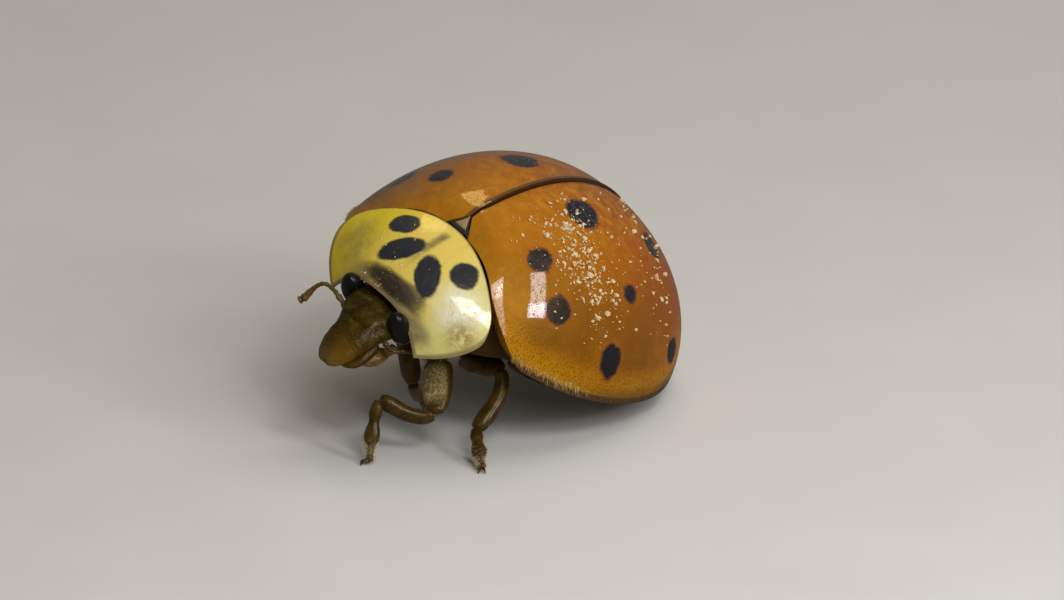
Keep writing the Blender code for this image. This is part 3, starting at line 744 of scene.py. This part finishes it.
def face_finish():
    """Olive brown between the eyes, mottled and glossy, and darker to the mouth."""
    f = Finish("face", HEAD, coat=0.06, coat_roughness=0.12, specular=0.14, tint=(1.0, 0.75, 0.4))
    forward = 0 - f.y
    blotch = f.noise(4.5, 4, 0.65)
    f.base(blotch.rises(-0.5, 0.5), (0.01, 0.006, 0.0006), (0.048, 0.032, 0.003))
    glow = ((abs(f.x) * 1.4) ** 2 + ((forward - 0.42) / 0.55) ** 2).rises(1.0, 0.1)
    f.lay(glow * blotch.rises(0.0, 0.6) * 0.5, (0.13, 0.088, 0.012))
    lay_muzzle(f)
    line = abs(forward - 0.47 + f.x * f.x * 0.35).rises(0.035, 0.008)
    f.lay(line * 0.6, (0.02, 0.01, 0.002))
    pits = f.cells(13).rises(0.35, 0.12)
    f.lay(pits * 0.35, (0.03, 0.016, 0.004))
    relief = f.noise(5, 3) * 0.014 + pits * -0.008 + line * -0.006 + f.noise(24, 2) * 0.005
    return f.paint(0.28 + pits * 0.2 + blotch * 0.08, relief)


def lip_finish():
    f = Finish("mouth", HEAD, coat=0.08, coat_roughness=0.15, specular=0.17, tint=(1.0, 0.8, 0.5))
    f.base(f.noise(5), (0.03, 0.016, 0.002), (0.06, 0.032, 0.003))
    lay_muzzle(f)
    return f.paint(0.31 + f.noise(9, 3) * 0.06, f.noise(5, 3) * 0.012 + f.noise(26, 2) * 0.004)


def eye_finish():
    """Black, with facets that only show as a fine grain."""
    f = Finish("eye", HEAD, coat=0.25, coat_roughness=0.08, specular=0.2)
    facets = f.cells(46, randomness=0.25)
    f.base(facets.rises(0.3, 0.6), (0.006, 0.005, 0.005), (0.002, 0.002, 0.002))
    f.lay(f.noise(6, 3).rises(0.2, 0.9) * 0.3, (0.014, 0.012, 0.009))
    return f.paint(0.22 + facets * 0.1, facets.rises(0.55, 0.0) * 0.0022)


def head_form(stations, sides, cuts):
    """A rounded form through cross-sections: distance forward, half-width, top and bottom."""
    form, turn, reach, along = tube(sides, cuts)
    along = 0.5 - 0.5 * np.cos(along * math.pi)
    forward, half_width, top, bottom = flow(stations, along).T
    z = (top + bottom) / 2 + (top - bottom) / 2 * np.sin(turn) * reach
    turned = 0.125 * ease((forward - 0.05) / 0.7)
    move_points(form, np.stack((half_width * np.cos(turn) * reach + turned, -forward, z), axis=-1))
    face_outwards(form)
    return form


def build_head():
    skull = head_form((
        (-0.52, 0.3, -0.02, -0.34), (-0.46, 0.46, 0.02, -0.4), (-0.25, 0.6, 0.1, -0.44),
        (0.00, 0.63, 0.21, -0.42), (0.25, 0.54, 0.26, -0.34), (0.5, 0.43, 0.26, -0.24),
        (0.66, 0.385, 0.245, -0.19), (0.8, 0.368, 0.22, -0.155), (0.88, 0.348, 0.194, -0.13),
        (0.96, 0.29, 0.14, -0.1), (1.01, 0.15, 0.08, -0.05)), 56, 76)

    def face(points):
        x, y, z = points.T
        forward, above = -y, ease((z + 0.05) / 0.2)
        groove = -0.009 * bump_at(forward - 0.5 + 0.45 * (x - 0.08) ** 2, 0.03)
        hollow = -0.05 * bump_at(np.abs(x) - 0.46, 0.07) * bump_at(forward - 0.3, 0.09)
        brow = 0.03 * bump_at(x, 0.22) * bump_at(forward - 0.12, 0.25)
        brow -= 0.02 * bump_at(x - 0.06, 0.2) * bump_at(forward - 0.42, 0.12)
        ridge = 0.018 * bump_at(np.abs(x) - 0.4, 0.05) * bump_at(forward - 0.1, 0.25)
        return above * (groove + hollow + brow + ridge)

    sculpt(skull, face)
    deliver(skull, "head_skin", HEAD, face_finish(), "face", "head")

    mouth = lip_finish()
    lobe = head_form((
        (0.72, 0.26, 0.15, -0.09), (0.8, 0.35, 0.205, -0.14), (0.88, 0.356, 0.2, -0.14),
        (0.97, 0.34, 0.176, -0.13), (1.08, 0.298, 0.135, -0.115), (1.18, 0.24, 0.092, -0.095),
        (1.25, 0.172, 0.06, -0.07), (1.29, 0.1, 0.03, -0.045), (1.3, 0.05, 0.01, -0.03)), 48, 48)
    sculpt(lobe, lambda p: 0.014 * bump_at(p[:, 0] - 0.16, 0.1) * ease(p[:, 2] / 0.1)
           - 0.02 * bump_at(p[:, 0] - 0.13, 0.06) * ease((-p[:, 1] - 1.2) / 0.1))
    jaws = []
    for side in SIDES.values():
        jaws.append(limb([(0.36 * side + 0.04, -0.4, -0.22), (0.34 * side + 0.08, -0.66, -0.2),
                          (0.31 * side + 0.11, -0.88, -0.19), (0.2 * side + 0.12, -1.02, -0.17),
                          (0.04 * side + 0.12, -1.08, -0.15)],
                         (0.09, 0.13, 0.11, 0.07, 0.02), (0.07, 0.09, 0.06, 0.04, 0.015), UPWARD, 14, 24))
    chin = limb([(0.02, -0.15, -0.36), (0.05, -0.4, -0.3), (0.09, -0.65, -0.25), (0.11, -0.84, -0.22),
                 (0.11, -0.94, -0.2)],
                (0.26, 0.3, 0.27, 0.2, 0.06), (0.1, 0.13, 0.13, 0.1, 0.03), UPWARD, 24, 24)
    for side in SIDES.values():
        jaws.append(limb([(0.1 * side + 0.09, -0.62, -0.34), (0.16 * side + 0.1, -0.78, -0.36),
                          (0.17 * side + 0.1, -0.92, -0.33)],
                         (0.045, 0.05, 0.03), (0.045, 0.05, 0.03), UPWARD, 10, 14))
    deliver(join([lobe] + jaws + [chin]), "mouth_parts", HEAD, mouth, "face", "labrum")

    black = eye_finish()
    for name, side in SIDES.items():
        eye = ball((0.58 * side, 0.0, -0.02), (0.208, 0.198, 0.398), 64, 40)
        # the face's rim cuts a small notch into the inner front of each eye
        notch = np.array((0.47 * side, -0.165, 0.03))
        sculpt(eye, lambda p: -0.04 * bump_at(np.linalg.norm((p - notch) * (0.6, 1.0, 1.3), axis=1), 0.065))
        deliver(eye, f"eye_ball_{name}", HEAD, black, "eye", f"eye_{name}")


# ---------------------------------------------------------------- feelers

def limb_finish(name, light, dark, place=FLOOR, foot=None):
    """Amber brown horn, darker in blotches, with a fine grain; foot is its colour close to the floor."""
    f = Finish(name, place, coat=0.2, coat_roughness=0.2, specular=0.3, tint=(1.0, 0.8, 0.5))
    f.base(f.noise(5, 4, 0.6).rises(-0.4, 0.5), dark, light)
    if foot:
        f.lay((f.z + f.noise(6) * 0.1).rises(0.45, 0.15) * 0.85, foot)
    grain = f.cells(24).rises(0.4, 0.12)
    f.lay(grain * 0.3, tuple(c * 0.4 for c in dark))
    return f.paint(0.36 + grain * 0.15, grain * -0.003 + f.noise(18, 3) * 0.004)


def feeler(path, club):
    """Eleven joints: a swollen first one, a thin run, and a club of three."""
    radii = []
    for thick in (0.07, 0.052, 0.042, 0.04, 0.039, 0.039, 0.04, 0.044, club * 0.84, club, club * 0.9):
        radii += [thick * 0.8, thick * 0.97, thick]
    radii.append(club * 0.4)
    return limb(path, radii, radii, UPWARD, 14, 150)


def build_feelers():
    horn = limb_finish("feelers", (0.17, 0.105, 0.034), (0.07, 0.038, 0.011), BODY)
    spread = feeler([(-0.4, -3.22, -0.32), (-0.66, -3.25, -0.25), (-0.805, -3.25, -0.215),
                     (-0.986, -3.27, -0.218), (-1.079, -3.3, -0.3), (-1.127, -3.34, -0.433),
                     (-1.157, -3.38, -0.594), (-1.207, -3.42, -0.7)], 0.072)
    deliver(spread, "feeler_right", BODY, horn, "limb", "antenna_right")
    tucked = feeler([(0.48, -3.23, -0.32), (0.6, -3.17, -0.4), (0.7, -3.08, -0.42), (0.75, -2.94, -0.38),
                     (0.8, -2.78, -0.34), (0.86, -2.62, -0.3)], 0.066)
    # painted shade: the tucked left feeler gets a darker copy of the feeler horn, for the shade it lies in
    shaded_feeler_horn = limb_finish("near_feeler_shaded", (0.075, 0.042, 0.012), (0.03, 0.016, 0.005), BODY)
    deliver(tucked, "feeler_left", BODY, shaded_feeler_horn, "limb", "antenna_left")
    for name, side in SIDES.items():
        base = limb([(0.5 * side, -0.14, -0.46), (0.49 * side, -0.24, -0.5), (0.47 * side, -0.34, -0.5)],
                    (0.07, 0.085, 0.07), (0.06, 0.07, 0.06), UPWARD, 16, 14)
        tip = limb([(0.49 * side, -0.28, -0.52), (0.46 * side, -0.36, -0.49), (0.43 * side, -0.52, -0.44),
                    (0.4 * side, -0.7, -0.38), (0.385 * side, -0.8, -0.35)],
                   (0.06, 0.11, 0.15, 0.11, 0.02), (0.06, 0.085, 0.105, 0.085, 0.03),
                   (0.3 * side, 0, 1), 20, 26)
        deliver(join([base, tip]), f"mouth_palp_{name}", HEAD,
                limb_finish("palps", (0.22, 0.12, 0.016), (0.075, 0.038, 0.006), HEAD),
                "limb", f"palp_{name}")


# ---------------------------------------------------------------- legs

LEGS = {
    # hip and trochanter in the body's frame, the rest in the floor's; up is across the flat of the leg
    "fore_left": dict(
        hip=(0.55, -1.8, -0.24), trochanter=(0.8, -1.9, -0.56), knee=(0.99, -2.66, 0.78),
        tibia=((0.95, -2.685, 0.742), (0.82, -2.8, 0.7), (0.59, -2.96, 0.76), (0.36, -3.1, 0.9),
               (0.2, -3.18, 0.97)),
        tarsus=((0.2, -3.18, 0.96), (0.2, -3.26, 0.8), (0.22, -3.36, 0.56), (0.27, -3.47, 0.34),
                (0.33, -3.58, 0.14), (0.36, -3.64, 0.06)),
        femur_size=(0.24, 0.14), femur_run=(0.94, 1.04, 1.03, 0.86, 0.5), tibia_size=1.1, aim=(-0.35, -0.3)),
    "fore_right": dict(
        hip=(-0.34, -1.72, -0.24), trochanter=(-0.16, -1.76, -0.62), knee=(-0.01, -2.05, 0.88),
        tibia=((-0.01, -2.05, 0.86), (-0.08, -1.92, 0.72), (-0.18, -1.7, 0.55), (-0.24, -1.54, 0.44)),
        tarsus=((-0.24, -1.54, 0.44), (-0.26, -1.46, 0.34), (-0.28, -1.34, 0.2), (-0.29, -1.22, 0.09),
                (-0.3, -1.15, 0.05)),
        femur_size=(0.16, 0.13), aim=(0.0, 0.35)),
    "mid_left": dict(
        hip=(0.52, -0.95, -0.24), trochanter=(0.66, -1.00, -0.6), knee=(1.33, -1.43, 1.26),
        tibia=((1.33, -1.43, 1.25), (1.41, -1.48, 1.08), (1.46, -1.66, 0.84), (1.44, -1.92, 0.62),
               (1.42, -2.15, 0.45)),
        tarsus=((1.42, -2.15, 0.45), (1.5, -2.24, 0.38), (1.64, -2.38, 0.28), (1.8, -2.52, 0.18),
                (1.93, -2.64, 0.1), (1.99, -2.69, 0.06)),
        femur_size=(0.21, 0.16), tibia_size=1.25, aim=(0.25, -0.35)),
    "mid_right": dict(
        hip=(-0.52, -0.95, -0.24), trochanter=(-0.64, -1.00, -0.6), knee=(-1.6, -0.6, 1.26),
        tibia=((-1.6, -0.6, 1.24), (-1.66, -0.42, 1.06), (-1.73, -0.06, 0.8), (-1.8, 0.3, 0.54)),
        tarsus=((-1.8, 0.3, 0.54), (-1.82, 0.42, 0.38), (-1.86, 0.58, 0.22), (-1.89, 0.72, 0.1),
                (-1.9, 0.8, 0.05)),
        aim=(-0.08, 0.35)),
    "hind_left": dict(
        hip=(0.52, 0.2, -0.24), trochanter=(0.66, 0.25, -0.58), knee=(1.25, 0.2, 0.58),
        tibia=((1.25, 0.2, 0.57), (1.34, 0.44, 0.52), (1.42, 0.78, 0.45), (1.48, 1.08, 0.38)),
        tarsus=((1.48, 1.08, 0.38), (1.45, 1.18, 0.3), (1.36, 1.34, 0.18), (1.26, 1.5, 0.09),
                (1.2, 1.6, 0.05)),
        aim=(-0.2, 0.35)),
    "hind_right": dict(
        hip=(-0.52, 0.2, -0.24), trochanter=(-0.64, 0.25, -0.6), knee=(-1.7, 1.00, 1.21),
        tibia=((-1.7, 1.00, 1.19), (-1.76, 1.22, 1.04), (-1.84, 1.58, 0.79), (-1.9, 1.88, 0.56)),
        tarsus=((-1.9, 1.88, 0.55), (-1.9, 2.00, 0.42), (-1.9, 2.18, 0.24), (-1.9, 2.36, 0.1),
                (-1.9, 2.45, 0.05)),
        aim=(0.0, 0.35)),
}


def claw(toe, aim, spread):
    """One hooked claw from the toe down to the floor."""
    ahead = Vector((*aim, 0)).normalized()
    beside = Vector((-ahead.y, ahead.x, 0)) * spread
    toe = Vector(toe)
    path = [toe, toe + ahead * 0.07 + beside * 0.5 + Vector((0, 0, 0.015)),
            toe + ahead * 0.125 + beside + Vector((0, 0, -0.012)), toe + ahead * 0.14 + beside * 1.2]
    path[-1].z = 0.006
    radii = (0.026, 0.022, 0.014, 0.003)
    return limb(path, radii, radii, UPWARD, 10, 12)


def build_leg(name, plan, horn, dark_horn, hair):
    to_floor = FLOOR.inverted() @ BODY
    hip, trochanter = (np.array(to_floor @ Vector(plan[joint])) for joint in ("hip", "trochanter"))
    knee, foot = np.array(plan["knee"]), np.array(plan["tarsus"])
    width, depth = plan.get("femur_size", (0.21, 0.15))
    size = plan.get("tibia_size", 1)
    run = knee - trochanter
    flat = (0.0, -0.35, 1.0) if abs(run[2]) < 0.5 * np.linalg.norm(run) else (0.6, -0.8, 0.0)
    coxa = limb((hip, (hip + trochanter) / 2, trochanter),
                (0.2, 0.21, 0.12), (0.17, 0.18, 0.11), (0, 1, 0), 20, 16)
    femur = limb([trochanter + run * t for t in (-0.04, 0.3, 0.55, 0.8)] + [knee],
                 [width * share for share in plan.get("femur_run", (0.9, 1.03, 1.07, 1.02, 0.62))],
                 (0.09, depth, depth, depth * 0.8, 0.08), flat, 24, 36)
    tibia = limb(plan["tibia"], [w * size for w in (0.085, 0.104, 0.114, 0.122, 0.128, 0.095)],
                 [w * size for w in (0.075, 0.088, 0.096, 0.104, 0.106, 0.08)], flat, 20, 40)
    tarsus = limb(foot,
                  (0.08, 0.092, 0.104, 0.108, 0.086, 0.112, 0.13, 0.118, 0.07, 0.056, 0.06, 0.068, 0.046),
                  (0.07, 0.078, 0.086, 0.082, 0.07, 0.084, 0.088, 0.072, 0.056, 0.046, 0.05, 0.056, 0.034),
                  (0.3, -0.5, 0.8), 20, 60)
    leg = join([coxa, femur, tibia, tarsus])
    claws = join([claw(foot[-1], plan["aim"], spread) for spread in (-0.05, 0.05)])
    pad = (foot[-3] + foot[-2]) / 2
    hairs = join([bristles(leg, LEG_HAIRS, unit(foot[-1] - knee)),
                  bristles(leg, SOLE_HAIRS, (0, 0, -1),
                           lambda middles: bump_at(np.linalg.norm(middles - pad, axis=1), 0.17), 0.8)])
    move_points(hairs, np.maximum(points_of(hairs), (-np.inf, -np.inf, HAIR_CLEARANCE)))
    deliver(leg, f"leg_{name}", FLOOR, horn, "limb", f"femur_{name}", f"tibia_{name}", f"tarsus_{name}")
    deliver(claws, f"claws_{name}", FLOOR, dark_horn, "limb")
    deliver(hairs, f"hairs_{name}", FLOOR, hair, "limb", sharp=30)


def leg_finish():
    """Amber horn, nearly black under the body and paler down to the feet."""
    f = Finish("legs", BODY, coat=0.2, coat_roughness=0.15, specular=0.3, tint=(1.0, 0.75, 0.4))
    f.base(f.noise(5, 4, 0.6).rises(-0.4, 0.5), (0.024, 0.012, 0.001), (0.07, 0.037, 0.003))
    under = ((f.x * f.x + (f.y + 0.7) ** 2 * 0.35) ** 0.5 + f.noise(3) * 0.1).rises(1.35, 0.75)
    f.lay(under * 0.65, (0.075, 0.034, 0.005))
    # the pale downy face of the left fore leg's femur
    thigh = (f.away((1.06, -2.16, -0.86), (1, 1, 0.8)) + f.noise(5, 3) * 0.07).rises(0.44, 0.24)
    down = f.noise(30, 3, 0.75, f.stretched(1, 1, 0.25)).rises(-0.25, 0.3) * 0.75 + 0.25
    ridge = (f.x * 0.656 + f.y * 0.609 + f.z * 0.446).rises(-0.7, -0.79)
    f.lay(thigh * down * ridge, (0.36, 0.27, 0.12))
    grain = f.cells(24).rises(0.4, 0.12)
    f.lay(grain * 0.3, (0.03, 0.014, 0.004))
    return f.paint(0.34 + grain * 0.15, grain * -0.003 + f.noise(16, 3) * 0.005)


def build_legs():
    horn = leg_finish()
    dark_horn = limb_finish("claws", (0.06, 0.028, 0.008), (0.025, 0.012, 0.004))
    hair = limb_finish("hairs", (0.26, 0.17, 0.055), (0.09, 0.05, 0.012), foot=(0.52, 0.44, 0.26))
    for name, plan in LEGS.items():
        build_leg(name, plan, horn, dark_horn, hair)


# ---------------------------------------------------------------- dust

def dust_finish():
    f = Finish("dust", BODY, specular=0.3)
    f.base(f.noise(9, 2).rises(-0.5, 0.5), (0.56, 0.36, 0.12), (0.74, 0.63, 0.43))
    return f.paint(0.75 + f.noise(30) * 0.1, f.noise(60, 2) * 0.002)


BAND_CRUMBS, STRAY_CRUMBS, SHIELD_CRUMBS = 430, 230, 60


def build_dust():
    """Crumbs in a loose band across the left wing case, with stray ones there and on the pronotum."""
    crumb = add(bpy.ops.mesh.primitive_ico_sphere_add, subdivisions=1, radius=1)
    shape = points_of(crumb)
    faces = [list(p.vertices) for p in crumb.data.polygons]
    bpy.data.objects.remove(crumb)
    t = chance.random(BAND_CRUMBS)
    drift = 0.1 * np.sin(t * 9) + chance.normal(0, 0.2 + 0.06 * t)
    x = np.concatenate((0.85 + 1.35 * t + chance.normal(0, 0.12, BAND_CRUMBS),
                        chance.uniform(0.3, 2.5, STRAY_CRUMBS)))
    y = np.concatenate((-0.75 + 0.25 * t + drift, chance.uniform(-1.7, 1.6, STRAY_CRUMBS)))
    keep = (x / 2.75) ** 2 + ((y - 0.36) / 2.9) ** 2 < 0.93
    x, y = x[keep], y[keep]
    middles = np.stack((x, y, dome_height(x, y)), axis=-1)
    size = np.clip(chance.lognormal(-4.3, 0.6, len(x)), 0.007, 0.055)
    on_shield = shield_point(chance.uniform(-0.5, 0.9, SHIELD_CRUMBS),
                             chance.uniform(0.1, 0.97, SHIELD_CRUMBS) ** 0.7)
    to_body = np.array(BODY.inverted() @ SHIELD)
    middles = np.concatenate((middles, on_shield @ to_body[:3, :3].T + to_body[:3, 3]))
    size = np.concatenate((size, np.clip(chance.lognormal(-4.7, 0.4, SHIELD_CRUMBS), 0.006, 0.018)))
    verts, polygons = [], []
    for middle, width in zip(middles, size):
        lump = shape * chance.uniform(0.55, 1.3, (len(shape), 1)) * width * chance.uniform(0.6, 1.5, 3)
        polygons += [[corner + len(verts) for corner in face] for face in faces]
        verts += (lump + middle + (0, 0, width * 0.25)).tolist()
    mesh = bpy.data.meshes.new("dust")
    mesh.from_pydata(verts, [], polygons)
    deliver(place_new("dust", mesh), "dust", BODY, dust_finish(), "wing_case", sharp=30)


# ---------------------------------------------------------------- camera, lights and floor

CAMERA_AZIMUTH, CAMERA_ELEVATION, LENS = 39.3, 20.0, 800
# where the view's middle lies from the body's own, and how much it shows from side to side
AIM_RIGHT, AIM_UP, VIEW_WIDTH = 0.651, 0.118, 17.58

SOFTBOXES = (
    # azimuth, elevation and distance, width and height, power, colour, roll, and whether it shines in gloss
    ("window", (93, 32, 60), (8, 26), 0.0062, (0.98, 0.97, 1.0), -25, True),
    ("window_foot", (89, 24, 60), (10, 8), 0.0042, (0.8, 0.86, 1.0), -25, True),
    ("side_window", (64, 32, 60), (7, 34), 0.0075, (1.0, 0.98, 0.98), 0, True),
    ("high_window", (57, 46, 60), (17, 13), 0.007, (1.0, 1.0, 0.98), 0, True),
    ("ceiling", (223, 62, 60), (9, 16), 0.002, (1.0, 0.75, 0.3), 0, True),
    # broad fills that light the colours and stay out of the gloss
    ("overhead", (150, 68, 75), (60, 60), 0.02, (1.0, 0.98, 0.94), 0, False),
    ("front", (62, 30, 80), (50, 50), 0.01, (1.0, 0.98, 0.94), 0, False),
)


def direction(azimuth, elevation):
    a, e = math.radians(azimuth), math.radians(elevation)
    return Vector((math.sin(a) * math.cos(e), -math.cos(a) * math.cos(e), math.sin(e)))


def look(thing, place, towards):
    thing.location = place
    thing.rotation_euler = (place - towards).to_track_quat("Z", "Y").to_euler()


def set_camera():
    back, right = direction(CAMERA_AZIMUTH, CAMERA_ELEVATION), direction(CAMERA_AZIMUTH + 90, 0)
    aim = (MIDDLE + right * AIM_RIGHT + back.cross(right) * AIM_UP) * MM
    camera = place_new("camera", bpy.data.cameras.new("camera"))
    camera.data.lens, camera.data.clip_start, camera.data.clip_end = LENS, 0.001, 10
    look(camera, aim + back * VIEW_WIDTH * MM * LENS / camera.data.sensor_width, aim)
    bpy.context.scene.camera = camera


def set_lights():
    world = bpy.data.worlds.new("studio")
    world.use_nodes = True
    sky = world.node_tree.nodes["Background"]
    sky.inputs["Color"].default_value = (0.88, 0.86, 0.8, 1)
    sky.inputs["Strength"].default_value = 0.16
    bpy.context.scene.world = world
    for name, (azimuth, elevation, distance), (width, height), power, colour, roll, shines in SOFTBOXES:
        light = bpy.data.lights.new(name, "AREA")
        light.shape, light.energy, light.color = "RECTANGLE", power, colour
        light.size, light.size_y = width * MM, height * MM
        lamp = place_new(name, light)
        lamp.visible_glossy = shines
        look(lamp, (MIDDLE + direction(azimuth, elevation) * distance) * MM, MIDDLE * MM)
        lamp.rotation_euler.rotate_axis("Z", math.radians(roll))
    bpy.context.scene.view_settings.view_transform = "Standard"


def build_floor():
    floor = add(bpy.ops.mesh.primitive_plane_add, size=1.0)
    floor.name = "floor"
    f = Finish("floor", FLOOR)
    f.base(f.noise(0.35, 3) * 0.5 + 0.5, (0.6, 0.585, 0.56), (0.66, 0.645, 0.62))
    floor.data.materials.append(f.paint(0.7 + f.noise(3) * 0.05))
    floor.visible_glossy = False    # a pale floor would whiten the lower half of every glossy part


build_floor()
for side_name, side_sign in SIDES.items():
    build_case(side_name, side_sign)
build_pronotum()
build_scutellum()
build_trunk()
build_head()
build_feelers()
build_legs()
build_dust()
set_camera()
set_lights()
